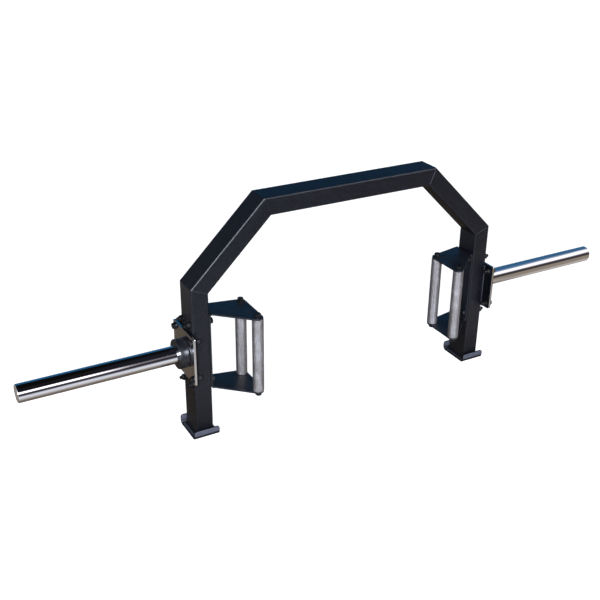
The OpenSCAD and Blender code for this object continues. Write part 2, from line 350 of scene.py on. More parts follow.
def mount_coat():
    """Dull black coat of the mounting plates, with painted shade: darker and less glossy than
    the tube coat, for the shade between the leg and the flange.
    """
    material, tree, place = shader("mount_coat_dull")
    grain = tree.noise(place, 900.0, detail=2.0, rough=0.6)
    cloud = tree.noise(place, 30.0)
    return finish_shader(material, tree, {
        # Painted shade: half to nine tenths of the tube coat's colour, and a low specular
        # level
        "Base Color": tree.shades(cloud.above(0.5, 0.25), colours().powder, 0.5, 0.9),
        "Roughness": 0.42 + 0.10 * cloud,
        "Specular IOR Level": 0.10,
        "Normal": tree.bump(grain, 0.3, 0.2 * MM)})


def plate_coat():
    """The brackets' smoother, semi-gloss coat with a slight orange peel."""
    look = colours()
    material, tree, place = shader("plate_coat_satin")
    peel = tree.noise(place, 420.0, detail=2.0)
    cloud = tree.noise(place, 30.0)
    return finish_shader(material, tree, {
        "Base Color": tree.shades(cloud.above(0.5, 0.3), look.plate, 0.75, 1.15),
        "Roughness": look.plate_rough - 0.04 + 0.08 * cloud,
        "Specular IOR Level": 0.38,
        "Normal": tree.bump(peel, 0.22, 0.2 * MM)})


def chrome():
    """Bright chrome with faint polishing lines round the sleeve and light haze."""
    look = colours()
    material, tree, place = shader("chrome_bright")
    lines = tree.noise(place, 1.0, detail=2.0, stretch=(2600.0, 60.0, 60.0))
    haze = tree.noise(place, 16.0)
    cut = tree.marked(CUT)
    tint = tree.shades(haze, look.chrome, 0.96, 1.0)
    return finish_shader(material, tree, {
        "Base Color": tree.mix(cut, tint, (0.50, 0.465, 0.42)),
        "Metallic": 1.0,
        "Roughness": look.chrome_rough - 0.015 + 0.03 * haze + 0.08 * cut,
        "Normal": tree.bump(lines, 0.05, 0.02 * MM)})


def grip_steel():
    """Satin zinc on the knurl, mottled, with paler clouds."""
    look = colours()
    material, tree, place = shader("grip_zinc_satin")
    mottle = tree.noise(place, 130.0, detail=4.0, rough=0.65)
    cloud = tree.noise(place, 26.0)
    grain = tree.noise(place, 2200.0, detail=2.0)
    tint = tree.shades(mottle.above(0.47, 0.2), look.grip, 0.82, 1.08)
    return finish_shader(material, tree, {
        "Base Color": tree.mix(cloud.above(0.58, 0.2) * 0.25, tint, (0.66, 0.66, 0.68)),
        "Metallic": 1.0,
        "Roughness": look.grip_rough + 0.12 * mottle,
        "Normal": tree.bump(grain, 0.12, 0.05 * MM)})


def collar_coat():
    """Smooth satin coat of the stop collars, with turning lines."""
    material, tree, place = shader("collar_coat_satin")
    lines = tree.noise(place, 1.0, detail=2.0, stretch=(1500.0, 20.0, 20.0))
    cloud = tree.noise(place, 45.0)
    return finish_shader(material, tree, {
        "Base Color": tree.shades(cloud.above(0.5, 0.25), colours().collar, 0.8, 1.15),
        "Roughness": 0.31 + 0.08 * cloud,
        "Specular IOR Level": 0.43,
        "Normal": tree.bump(lines, 0.12, 0.05 * MM)})


def black_oxide():
    """Oily black oxide of the fasteners, rubbed paler in patches."""
    material, tree, place = shader("fastener_black_oxide")
    rub = tree.noise(place, 240.0, rough=0.6)
    grain = tree.noise(place, 1800.0, detail=2.0)
    rubbed = rub.above(0.60, 0.10) * 0.4
    return finish_shader(material, tree, {
        "Base Color": tree.mix(rubbed, colours().fastener, (0.030, 0.029, 0.028)),
        "Roughness": 0.22 + 0.14 * rub,
        "Specular IOR Level": 0.20,
        "Normal": tree.bump(grain, 0.15, 0.05 * MM)})


FINISHES = {
    "powder_coat": powder_coat,
    "foot_coat": foot_coat,
    "seam_coat": seam_coat,
    "plate_coat": plate_coat,
    "mount_coat": mount_coat,
    "chrome": chrome,
    "grip_steel": grip_steel,
    "collar": collar_coat,
    "fastener": black_oxide,
}
SLOTS = dict.fromkeys(("plate_coat", "mount_coat", "foot_coat", "seam_coat"), "powder_coat")
made = {}


def finish(name):
    """The material of that finish, made once."""
    if name not in made:
        made[name] = FINISHES[name]()
    return made[name]


def coat(thing, name):
    """Gives an object one finish all over."""
    thing.data.materials.clear()
    thing.data.materials.append(finish(name))


# Meshes and geometry trees
def new_object(name, mesh):
    thing = bpy.data.objects.new(name, mesh)
    bpy.context.scene.collection.objects.link(thing)
    return thing


def piece(name, mesh, look, *nodes):
    """A finished piece of the bar: its finish, its body and the nodes it stands for."""
    thing = new_object(name, mesh)
    if not mesh.materials:
        coat(thing, look)
    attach(thing, "root")
    if nodes:
        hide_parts(*nodes)


def from_middle(node):
    """How near to the middle of the bar a node starts, and how far out it ends."""
    low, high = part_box(node)
    return sorted((abs(low.x), abs(high.x)))


def baked(thing, name):
    """A plain mesh of what an object's modifiers make; the object goes."""
    bpy.context.view_layer.update()
    seen = thing.evaluated_get(bpy.context.evaluated_depsgraph_get())
    mesh = bpy.data.meshes.new_from_object(seen)
    mesh.name = name
    bpy.data.objects.remove(thing)
    return mesh


def skin(name, rings, loop=False, angle=35):
    """A closed mesh over rings of points: a ring round, or capped at both ends."""
    shape = bmesh.new()
    rows = [[shape.verts.new(p) for p in ring] for ring in rings]
    pairs = list(zip(rows, rows[1:]))
    if loop:
        pairs.append((rows[-1], rows[0]))
    for low, high in pairs:
        for i in range(len(low)):
            j = (i + 1) % len(low)
            shape.faces.new((low[i], low[j], high[j], high[i]))
    if not loop:
        for row in (rows[0], rows[-1]):
            shape.faces.new(row)
    bmesh.ops.remove_doubles(shape, verts=shape.verts, dist=SAME)
    bmesh.ops.recalc_face_normals(shape, faces=shape.faces)
    mesh = bpy.data.meshes.new(name)
    shape.to_mesh(mesh)
    shape.free()
    mesh.shade_smooth()
    mesh.set_sharp_from_angle(angle=radians(angle))
    return mesh


def arc(centre, radius, start, end, steps=6):
    """Points on an arc in a half section, as (height, radius)."""
    turns = [radians(start + (end - start) * i / steps) for i in range(steps + 1)]
    return [(centre[0] + radius * cos(turn), centre[1] + radius * sin(turn))
            for turn in turns]


def polar(radius, turn, z):
    return Vector((radius * cos(turn), radius * sin(turn), z))


def turned(section, count=96):
    """Rings about +Z for a half section of (height, radius) points."""
    return [[polar(r, 2 * pi * i / count, z) for i in range(count)] for z, r in section]


def on_sleeve_axis(rings, x, side):
    """Turns rings about +Z outwards along the sleeves' axis, from x."""
    turn = Matrix.Translation((side * x, MID_Y, AXIS_Z)) @ Matrix.Rotation(
        side * pi / 2, 4, "Y")
    return [[turn @ p for p in ring] for ring in rings]


def soft_edged(node, name, width):
    """A merged copy of a node with its sharp edges rounded."""
    mesh = NODES[node].data.copy()
    shape = bmesh.new()
    shape.from_mesh(mesh)
    bmesh.ops.remove_doubles(shape, verts=shape.verts, dist=CAD_SAME)
    bmesh.ops.dissolve_limit(shape, angle_limit=radians(0.5), verts=shape.verts,
                             edges=shape.edges)
    bmesh.ops.recalc_face_normals(shape, faces=shape.faces)
    clean = bpy.data.meshes.new(name)
    shape.to_mesh(clean)
    shape.free()
    bpy.data.meshes.remove(mesh)
    clean.shade_smooth()
    thing = new_object(name, clean)
    bevel = thing.modifiers.new("edges", "BEVEL")
    bevel.width = width
    bevel.segments = 3
    bevel.limit_method = "ANGLE"
    bevel.angle_limit = radians(40)
    bevel.harden_normals = True
    return baked(thing, name)


def marked(mesh, name, chosen):
    """Marks the faces of a mesh that a test chooses, for its finish to read."""
    mark = mesh.attributes.new(name, "FLOAT", "FACE")
    for face in mesh.polygons:
        mark.data[face.index].value = float(chosen(face))


def geometry_group(name, inputs):
    """A geometry tree: its group, its nodes, and the inputs by name, each of a kind."""
    group = bpy.data.node_groups.new(name, "GeometryNodeTree")
    socket = group.interface.new_socket
    for title, kind in {"Geometry": "Geometry", **inputs, "Finish": "Material"}.items():
        socket(title, in_out="INPUT", socket_type="NodeSocket" + kind)
    socket("Geometry", in_out="OUTPUT", socket_type="NodeSocketGeometry")
    tree = Tree(group)
    return group, tree, tree.add("NodeGroupInput")


def end_group(tree, given, mesh):
    """Ends a geometry tree with real copies in their finish."""
    real = tree.add("GeometryNodeRealizeInstances", None, {"Geometry": mesh})["Geometry"]
    done = tree.add("GeometryNodeSetMaterial", None, {
        "Geometry": real, "Material": given["Finish"]})["Geometry"]
    tree.add("NodeGroupOutput", None, {"Geometry": done})


def grown(name, source, group, **given):
    """The plain mesh that a geometry tree makes from a mesh and its named inputs."""
    thing = new_object(name, source)
    modifier = thing.modifiers.new(name, "NODES")
    modifier.node_group = group
    for item in group.interface.items_tree:
        key = item.name.lower().replace(" ", "_")
        if item.in_out == "INPUT" and key in given:
            modifier[item.identifier] = given[key]
    return baked(thing, name)


# Grips
def knurl_tree():
    """A knurled bar: a grid rolled up, with every second point raised to a diamond."""
    group, tree, given = geometry_group("knurled_bar", {
        "Radius": "Float", "Length": "Float", "Hole radius": "Float",
        "Knurl depth": "Float", "Columns": "Int", "Rows": "Int", "Centre": "Vector"})
    columns, rows, long = given["Columns"], given["Rows"], given["Length"]
    grid = tree.add("GeometryNodeMeshGrid", None, {
        "Size X": 1.0, "Size Y": 1.0, "Vertices X": columns + 1, "Vertices Y": rows + 1})
    spot = tree.split(tree.add("GeometryNodeInputPosition")["Position"])
    step = spot["X"].math("ROUND", (spot["X"] + 0.5) * columns)
    row = step.math("ROUND", (spot["Y"] + 0.5) * rows)
    inner = row.clipped(1.0, rows - 1.0)
    high = (inner - 1.0) / (rows - 2.0) * long - long / 2
    low_point = row.math("MODULO", step + row, 2.0)
    end_cap = step.math("LESS_THAN", long / 2 - 0.1 * MM, abs(high))
    rim = (given["Radius"] - low_point * given["Knurl depth"] * (1 - end_cap)
           - end_cap * (1.2 * MM))
    hub = step.math("LESS_THAN", abs(row - rows / 2), rows / 2 - 0.5)
    radius = rim * hub + given["Hole radius"] * (1 - hub)
    turn = step / columns * (2 * pi)
    place = tree.add("ShaderNodeCombineXYZ", None, {
        "X": turn.math("COSINE", turn) * radius,
        "Y": turn.math("SINE", turn) * radius,
        "Z": high})["Vector"]
    place = tree.add("ShaderNodeVectorMath", {"operation": "ADD"}, {
        0: place, 1: given["Centre"]})["Vector"]
    rolled = tree.add("GeometryNodeSetPosition", None, {
        "Geometry": grid["Mesh"], "Position": place})["Geometry"]
    joined = tree.add("GeometryNodeMergeByDistance", None, {
        "Geometry": rolled, "Distance": 0.01 * MM})["Geometry"]
    facets = tree.add("GeometryNodeTriangulate", {"quad_method": "SHORTEST_DIAGONAL"}, {
        "Mesh": joined})["Mesh"]
    end_group(tree, given, facets)
    return group


def knurled_grip(node, group):
    """Rolls one grip, and closes the bottoms of its two holes."""
    size = sizes()
    name = node.replace("grip", "knurled_grip")
    low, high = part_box(node)
    radius, long = (high.x - low.x) / 2, high.z - low.z
    mesh = grown(name, bpy.data.meshes.new("start"), group,
                 radius=radius, length=long, hole_radius=GRIP_HOLE_R,
                 knurl_depth=size.knurl_depth,
                 columns=2 * round(pi * 2 * radius / size.knurl_pitch),
                 rows=round(long / (size.knurl_pitch / 2)) + 2,
                 centre=tuple((low + high) / 2), finish=finish("grip_steel"))
    shape = bmesh.new()
    shape.from_mesh(mesh)
    bmesh.ops.holes_fill(shape, edges=[e for e in shape.edges if e.is_boundary])
    bmesh.ops.recalc_face_normals(shape, faces=shape.faces)
    shape.to_mesh(mesh)
    shape.free()
    piece(name, mesh, "grip_steel", node)


# Fasteners
# Points round a fastener, and the angle from which its edges stay sharp
AROUND = 48
CREASE = 28
HEX_AF = 16 * MM
BOLT_R = 5 * MM
HEAD_T = 6.4 * MM
NUT_HEX_T = 8 * MM
NUT_T = 10 * MM
NUT_BORE = 5.1 * MM
WASHER_T = 2 * MM
WASHER_R = 10 * MM
WASHER_BORE = 5.25 * MM
LOCK_T = 2.2 * MM
LOCK_R = 9 * MM
# Each bolt's length under its head, and how much of that is threaded
BOLTS = {"flange_bolt": (31 * MM, 20 * MM), "bracket_bolt": (75.6 * MM, 22 * MM),
         "grip_bolt": (34 * MM, 20 * MM)}


def hex_ring(z, limit):
    """A ring on a hexagon whose corners are turned off at a radius."""
    ring = []
    for i in range(AROUND):
        turn = 360 * i / AROUND
        flat = HEX_AF / 2 / cos(radians((turn % 60) - 30))
        ring.append(polar(min(flat, limit), radians(turn), z))
    return ring


def hex_rings(height):
    """Sides of a head or nut: corners turned off above and a little below."""
    corner = HEX_AF / 2 / cos(radians(30))
    rim = 0.95 * HEX_AF / 2
    drop = (corner - rim) * tan(radians(30))
    rings = [hex_ring(0, corner * 0.955), hex_ring(0.25 * MM, corner)]
    rings += [hex_ring(height - drop * (1 - i / 4), corner - (corner - rim) * i / 4)
              for i in range(5)]
    return rings


def threaded(z0, z1, tip):
    """Rings of a screw thread from z0 up to z1, tapered over the tip."""
    pitch = sizes().thread_pitch
    steps = ceil((z1 - z0) / (pitch / 6))
    depth = 0.55 * pitch
    rings = []
    for k in range(steps + 1):
        z = z0 + (z1 - z0) * k / steps
        ring = []
        for i in range(AROUND):
            wave = ((z - z0) / pitch - i / AROUND) % 1
            radius = BOLT_R - depth * abs(2 * wave - 1) ** 1.2
            radius = min(radius, BOLT_R - max(0, tip - (z - z0)))
            ring.append(polar(radius, 2 * pi * i / AROUND, z))
        rings.append(ring)
    return rings


def bolt_mesh(name, long, thread):
    """A hex bolt: its head stands on z = 0, and its threaded end is at -long."""
    rings = threaded(-long, thread - long, 1 * MM)
    rings += turned([(thread - long + 0.3 * MM, BOLT_R), (-0.3 * MM, BOLT_R)], AROUND)
    rings += hex_rings(HEAD_T)
    rings += turned([(HEAD_T, 6.7 * MM), (HEAD_T - 0.35 * MM, 6.2 * MM)], AROUND)
    return skin(name, rings, angle=CREASE)


def nut_mesh(name):
    """A lock nut: hexagon, domed insert ring and bore."""
    rings = hex_rings(NUT_HEX_T)
    rings += turned([(NUT_HEX_T, 7 * MM)] + arc((9.2 * MM, 6.2 * MM), 0.8 * MM, 90, 0, 4)
                    + [(NUT_T, 5.6 * MM), (9.6 * MM, NUT_BORE), (0, NUT_BORE)], AROUND)
    return skin(name, rings, loop=True, angle=CREASE)


def washer_section(outer, top, edge):
    """A washer's half section, with its edges taken off."""
    inner = WASHER_BORE
    return [(0, inner + edge), (0, outer - edge), (edge, outer), (top - edge, outer),
            (top, outer - edge), (top, inner + edge), (top - edge, inner), (edge, inner)]


def washer_mesh(name):
    section = washer_section(WASHER_R, WASHER_T, 0.25 * MM)
    return skin(name, turned(section, AROUND), loop=True, angle=CREASE)


def lock_washer_mesh(name):
    """A split ring: its slit slants across its thickness."""
    slit, slant = radians(10), 60
    section = washer_section(LOCK_R, LOCK_T, 0.3 * MM)
    rings = []
    for k in range(AROUND + 1):
        turn = slit / 2 + (2 * pi - slit) * k / AROUND
        rings.append([polar(r, turn + slant * (z - LOCK_T / 2), z) for z, r in section])
    return skin(name, rings, angle=CREASE)


def places_tree():
    """A fastener at each point, faced by the point's turn and turned at random."""
    group, tree, given = geometry_group("fastener_places", {
        "Fastener": "Object", "Seed": "Int", "Loose turn": "Float"})
    part = tree.add("GeometryNodeObjectInfo", None, {"Object": given["Fastener"]})
    turn = tree.add("GeometryNodeInputNamedAttribute", {"data_type": "FLOAT_VECTOR"}, {
        "Name": "turn"})["Attribute"]
    spin = tree.add("FunctionNodeRandomValue", {"data_type": "FLOAT"}, {
        "Min": 0.0, "Max": given["Loose turn"], "Seed": given["Seed"]})["Value"]
    placed = tree.add("GeometryNodeInstanceOnPoints", None, {
        "Points": given["Geometry"], "Instance": part["Geometry"], "Rotation": turn})
    spun = tree.add("GeometryNodeRotateInstances", None, {
        "Instances": placed["Instances"], "Local Space": True,
        "Rotation": tree.add("ShaderNodeCombineXYZ", None, {"Z": spin})["Vector"]})
    end_group(tree, given, spun["Instances"])
    return group


def points(name, spots):
    """A mesh of loose points, each with its turn."""
    mesh = bpy.data.meshes.new(name)
    mesh.from_pydata([spot for spot, turn in spots], [], [])
    turns = mesh.attributes.new("turn", "FLOAT_VECTOR", "POINT")
    for i, (spot, turn) in enumerate(spots):
        turns.data[i].vector = turn
    return mesh


def rectangle(x, pitch_y, pitch_z, side):
    """Four places round the sleeves' axis, facing along X to a side."""
    return [(Vector((x, MID_Y + a * pitch_y / 2, AXIS_Z + b * pitch_z / 2)),
             (0, side * pi / 2, 0)) for a in (-1, 1) for b in (-1, 1)]


def grip_ends(side, gap):
    """Above and below each grip of a side, on the outside of the bracket's plates."""
    low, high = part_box("bracket_" + side)
    spots = []
    for grip in ("grip_low_", "grip_high_"):
        a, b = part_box(grip + side)
        x, y = (a.x + b.x) / 2, (a.y + b.y) / 2
        spots.append((Vector((x, y, high.z + gap)), (0, 0, 0)))
        spots.append((Vector((x, y, low.z - gap)), (pi, 0, 0)))
    return spots


# Welds
def bead_tree():
    """A weld bead along a line: a round section that swells and shrinks in ripples."""
    group, tree, given = geometry_group("weld_bead", {
        "Bead radius": "Float", "Ripple": "Float", "Ripple depth": "Float"})
    line = tree.add("GeometryNodeMeshToCurve", None, {"Mesh": given["Geometry"]})["Curve"]
    line = tree.add("GeometryNodeResampleCurve", {"mode": "LENGTH"}, {
        "Curve": line, "Length": given["Ripple"] / 4})["Curve"]
    along = tree.add("GeometryNodeSplineParameter")["Length"]
    wave = along.math("FRACT", along / given["Ripple"])
    place = tree.add("GeometryNodeInputPosition")["Position"]
    wander = tree.noise(place, 90.0, detail=1.0)
    swell = 1 - given["Ripple depth"] * wave + 0.24 * (wander - 0.5)
    bead = tree.add("GeometryNodeCurveToMesh", None, {
        "Curve": line, "Scale": swell * given["Bead radius"], "Fill Caps": True,
        "Profile Curve": tree.add("GeometryNodeCurvePrimitiveCircle", None, {
            "Resolution": 12, "Radius": 1.0})["Curve"]})["Mesh"]
    bead = tree.add("GeometryNodeSetShadeSmooth", None, {"Geometry": bead})["Geometry"]
    end_group(tree, given, bead)
    return group


def lines(name, runs):
    """A mesh of open or closed runs of edges; a closed run repeats its first point."""
    mesh = bpy.data.meshes.new(name)
    spots, edges = [], []
    for run in runs:
        closed = (run[0] - run[-1]).length < SAME
        first = len(spots)
        body = run[:-1] if closed else run
        spots += body
        edges += [(first + i, first + i + 1) for i in range(len(body) - 1)]
        if closed:
            edges.append((first + len(body) - 1, first))
    mesh.from_pydata(spots, edges, [])
    return mesh


def round_loop(centre, across, over, half_a, half_b, corner):
    """A closed rounded rectangle about a centre, in the plane of two directions."""
    run = []
    for a, b, start in ((1, 1, 0), (-1, 1, 90), (-1, -1, 180), (1, -1, 270)):
        for i in range(7):
            turn = radians(start + 15 * i)
            run.append(centre + across * (a * (half_a - corner) + corner * cos(turn))
                       + over * (b * (half_b - corner) + corner * sin(turn)))
    return run + [run[0].copy()]


def seam_loops(side):
    """Round the tube at the two mitred corners of a side."""
    low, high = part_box("leg_" + side)
    half_w = from_middle("leg_" + side)[1]
    shoulder, top = high.z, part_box("top_beam")[1].z
    bite = TUBE_W * tan(radians(22.5))
    crown = half_w - (top - shoulder)
    sunk = 2.2 * MM
    loops = []
    for (ox, oz), (ix, iz) in (
            ((half_w, shoulder), (half_w - TUBE_W, shoulder - bite)),
            ((crown, top), (crown - bite, top - TUBE_W))):
        outer = Vector((SIDES[side] * ox, MID_Y, oz))
        inner = Vector((SIDES[side] * ix, MID_Y, iz))
        # The bead at the left end of the top beam is ground flatter than the others
        ground = 0.4 * MM if side == "left" and oz == top else 0
        loops.append(round_loop((outer + inner) / 2, (outer - inner).normalized(), BACK,
                                (outer - inner).length / 2 - sunk,
                                (high.y - low.y) / 2 - 1.1 * MM - ground, 4 * MM))
    return loops


def foot_loop(side):
    """Round the bottom of a leg, on its foot plate."""
    low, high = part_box("leg_" + side)
    centre = Vector(((low.x + high.x) / 2, MID_Y, low.z))
    out = 0.6 * MM
    return [round_loop(centre, Vector((1, 0, 0)), BACK, (high.x - low.x) / 2 + out,
                       (high.y - low.y) / 2 + out, 5 * MM)]


def plate_lines(side):
    """Up the leg's two outer corners, against the mounting plate."""
    low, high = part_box("mount_plate_" + side)
    front, back = [corner.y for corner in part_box("leg_" + side)]
    x = SIDES[side] * (from_middle("mount_plate_" + side)[0] - 1.6 * MM)
    inset = 3 * MM
    return [[Vector((x, y, z)) for z in (low.z + inset, high.z - inset)]
            for y in (front + 0.2 * MM, back - 0.2 * MM)]


# Operators
class TubesOperator(bpy.types.Operator):
    """Coats the five tubes of the welded arch"""

    bl_idname = "trap_bar.tubes"
    bl_label = "Arch tubes"

    def execute(self, context):
        for node in ("leg_left", "leg_right", "slope_left", "slope_right", "top_beam"):
            coat(NODES[node], "powder_coat")
        return {"FINISHED"}


class PlatesOperator(bpy.types.Operator):
    """Rounds the edges of feet, mounting plates and handle brackets, and coats them"""

    bl_idname = "trap_bar.plates"
    bl_label = "Feet, mounting plates and brackets"

    def execute(self, context):
        for side in SIDES:
            for node, look in (("foot", "foot_coat"), ("mount_plate", "mount_coat"),
                               ("bracket", "plate_coat")):
                name = f"{node}_edged_{side}"
                mesh = soft_edged(f"{node}_{side}", name, sizes().edge_round)
                if node == "foot":
                    # The lips' faces that look front or back are marked for the foot coat's
                    # painted light
                    marked(mesh, LIP, lambda face: abs(face.normal.y) > 0.9
                           and face.center.z > 10 * MM)
                piece(name, mesh, look, f"{node}_{side}")
        return {"FINISHED"}


class SleevesOperator(bpy.types.Operator):
    """Turns the sleeves, their end plugs and the stop collars, and edges the flanges"""

    bl_idname = "trap_bar.sleeves"
    bl_label = "Sleeves, flanges and collars"

    def execute(self, context):
        size = sizes()
        for side, sign in SIDES.items():
            mesh = soft_edged("flange_" + side, "flange_edged_" + side, size.chrome_edge)
            marked(mesh, CUT, lambda face: abs(face.normal.x) < 0.1)
            piece("flange_edged_" + side, mesh, "chrome", "flange_" + side)
            self.sleeve(side, sign, size.sleeve_edge)
            self.plug(side, sign)
            self.collar(side, sign, size.collar_edge)
        return {"FINISHED"}

    def sleeve(self, side, sign, edge):
        low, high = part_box("sleeve_" + side)
        near, far = sorted((abs(low.x), abs(high.x)))
        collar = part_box("collar_" + side)
        seat = max(abs(collar[0].x), abs(collar[1].x)) + 0.3 * MM - near
        long, radius, bore = far - near, (high.z - low.z) / 2, SLEEVE_BORE
        seat_r, inner_edge = radius - 0.5 * MM, 0.5 * MM
        section = [(0, bore), (0, seat_r), (seat, seat_r), (seat, radius - 0.1 * MM),
                   (seat + 0.1 * MM, radius)]
        section += [(seat + (long - edge - seat) * i / 6, radius) for i in range(1, 6)]
        section += arc((long - edge, radius - edge), edge, 90, 0, 8)
        section += [(long, bore + inner_edge), (long - inner_edge, bore)]
        mesh = skin("sleeve_turned_" + side, on_sleeve_axis(turned(section, 128), near, sign),
                    loop=True)
        marked(mesh, CUT, lambda face: hypot(face.center.y - MID_Y, face.center.z - AXIS_Z)
               < radius - 1.3 * edge)
        piece("sleeve_turned_" + side, mesh, "chrome", "sleeve_" + side)

    def plug(self, side, sign):
        """The end disc, brought out until it is nearly level with the sleeve's end."""
        low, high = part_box("sleeve_plug_" + side)
        near = min(abs(low.x), abs(high.x))
        far = max(abs(corner.x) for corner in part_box("sleeve_" + side)) - 0.2 * MM
        long, radius, edge = far - near, (high.z - low.z) / 2, 0.5 * MM
        section = [(0, radius)] + arc((long - edge, radius - edge), edge, 90, 0, 5)
        section += [(long, 0.6 * radius), (long, 0.2 * radius)]
        mesh = skin("end_plug_" + side, on_sleeve_axis(turned(section), near, sign))
        marked(mesh, CUT, lambda face: True)
        piece("end_plug_" + side, mesh, "chrome", "sleeve_plug_" + side)

    def collar(self, side, sign, edge):
        low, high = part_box("collar_" + side)
        near, far = sorted((abs(low.x), abs(high.x)))
        long, radius, bore = far - near, (high.z - low.z) / 2, COLLAR_BORE
        section = [(0, bore + MM)] + arc((edge, radius - edge), edge, 180, 90)
        section += arc((long - edge, radius - edge), edge, 90, 0)
        section += [(long, bore + MM), (long - MM, bore), (MM, bore)]
        mesh = skin("collar_turned_" + side, on_sleeve_axis(turned(section, 128), near, sign),
                    loop=True)
        piece("collar_turned_" + side, mesh, "collar", "collar_" + side)


class GripsOperator(bpy.types.Operator):
    """Rolls the knurl on the four grips"""

    bl_idname = "trap_bar.grips"
    bl_label = "Knurled grips"

    def execute(self, context):
        group = knurl_tree()
        for side in SIDES:
            for node in ("grip_low_" + side, "grip_high_" + side):
                knurled_grip(node, group)
        return {"FINISHED"}


class FastenersOperator(bpy.types.Operator):
    """Sets the bolts, washers and nuts of sleeves, brackets and grips"""

    bl_idname = "trap_bar.fasteners"
    bl_label = "Bolts, washers and nuts"

    def execute(self, context):
        size = sizes()
        group = places_tree()
        washer = washer_mesh("washer")
        nut = nut_mesh("lock_nut")
        lock_washer = lock_washer_mesh("lock_washer")
        flange_bolt, bracket_bolt, grip_bolt = [
            bolt_mesh(name, *lengths) for name, lengths in BOLTS.items()]
        sleeve = (size.flange_pitch_y, size.flange_pitch_z)
        bracket = (size.bracket_pitch_y, size.bracket_pitch_z)
        for side, sign in SIDES.items():
            flange = from_middle("flange_" + side)[1]
            inner, leg = from_middle("leg_" + side)
            web = inner - BRACKET_T

            def four(pitches, x, way):
                return rectangle(sign * x, *pitches, sign * way)

            for name, mesh, spots in (
                    ("sleeve_bolts_", flange_bolt, four(sleeve, flange + WASHER_T, 1)),
                    ("sleeve_washers_", washer,
                     four(sleeve, flange, 1) + four(sleeve, leg, -1)),
                    ("sleeve_nuts_", nut, four(sleeve, leg - WASHER_T, -1)),
                    ("bracket_bolts_", bracket_bolt, four(bracket, web - WASHER_T, -1)),
                    ("bracket_washers_", washer,
                     four(bracket, web, -1) + four(bracket, leg, 1)),
                    ("bracket_nuts_", nut, four(bracket, leg + WASHER_T, 1)),
                    ("grip_washers_", washer, grip_ends(side, 0)),
                    ("grip_lock_washers_", lock_washer, grip_ends(side, WASHER_T)),
                    ("grip_bolts_", grip_bolt, grip_ends(side, WASHER_T + LOCK_T))):
                self.put(group, name + side, mesh, spots)
        return {"FINISHED"}

    @staticmethod
    def put(group, node, mesh, spots):
        template = new_object(mesh.name + "_one", mesh)
        name = node.replace("_left", "_detailed_left").replace("_right", "_detailed_right")
        done = grown(name, points(name, spots), group, fastener=template,
                     seed=len(node), loose_turn=radians(60), finish=finish("fastener"))
        bpy.data.objects.remove(template)
        piece(name, done, "fastener", node)


class WeldsOperator(bpy.types.Operator):
    """Lays the weld beads at the mitred corners, the feet and the mounting plates"""

    bl_idname = "trap_bar.welds"
    bl_label = "Weld beads"

    def execute(self, context):
        size = sizes()
        group = bead_tree()
        for side in SIDES:
            for name, runs, bead, depth, look in (
                    ("seam_beads_", seam_loops(side), size.seam_bead, 0.12, "seam_coat"),
                    ("foot_beads_", foot_loop(side), size.bead, 0.2, "powder_coat"),
                    ("plate_beads_", plate_lines(side), size.bead, 0.2, "seam_coat")):
                mesh = grown(name + side, lines(name, runs), group, bead_radius=bead,
                             ripple=size.ripple, ripple_depth=depth, finish=finish(look))
                piece(name + side, mesh, look)
        return {"FINISHED"}


def painted_floor_reflection(tree, place):
    """Painted reflection: the glowing ground that coats and chrome mirror in place of the
    floor.
    """
    spot = tree.split(place)
    x, y = spot["X"], spot["Y"]
    depth = tree.ramp(
        (y + 4.0) / 5.0,
        (0.0, (0.03, 0.027, 0.03)), (0.30, (0.03, 0.027, 0.03)), (0.44, (0.12, 0.12, 0.14)),
        (0.58, (0.28, 0.29, 0.35)), (0.67, (0.80, 0.83, 0.95)), (0.73, (0.93, 0.95, 1.03)),
        (0.765, (0.60, 0.57, 0.56)), (0.785, (0.27, 0.23, 0.20)),
        (0.815, (0.150, 0.115, 0.088)), (0.90, (0.110, 0.087, 0.068)))
    aside = tree.mix(y.above(-0.12, 0.06), (0.33, 0.275, 0.225), (0.56, 0.52, 0.50))
    aside = tree.mix(y.above(-2.0, 0.6), (0.06, 0.055, 0.06), aside)
    wide = abs(x).above(1.6, 0.2) * y.above(0.05, 0.1)
    return tree.layered(
        depth,
        (tree.noise(place, 5.0, detail=4.0).above(0.5, 0.2) * 0.15, (0.10, 0.09, 0.085)),
        # Painted shadow: the bar's shadow as a dark patch in the mirrored ground behind it
        (x.between(-0.45, 0.2, 0.5, 0.15) * y.above(0.15, 0.1), (0.020, 0.017, 0.015)),
        ((0 - x).above(0.92, 0.10) * y.above(0.2, 0.1), (0.38, 0.35, 0.33)),
        (x.above(0.80, 0.14) * (1 - y.above(0.12, 0.1)), aside),
        (wide.math("MAXIMUM", wide, y.above(1.3, 0.25)), (0.72, 0.75, 0.86)))


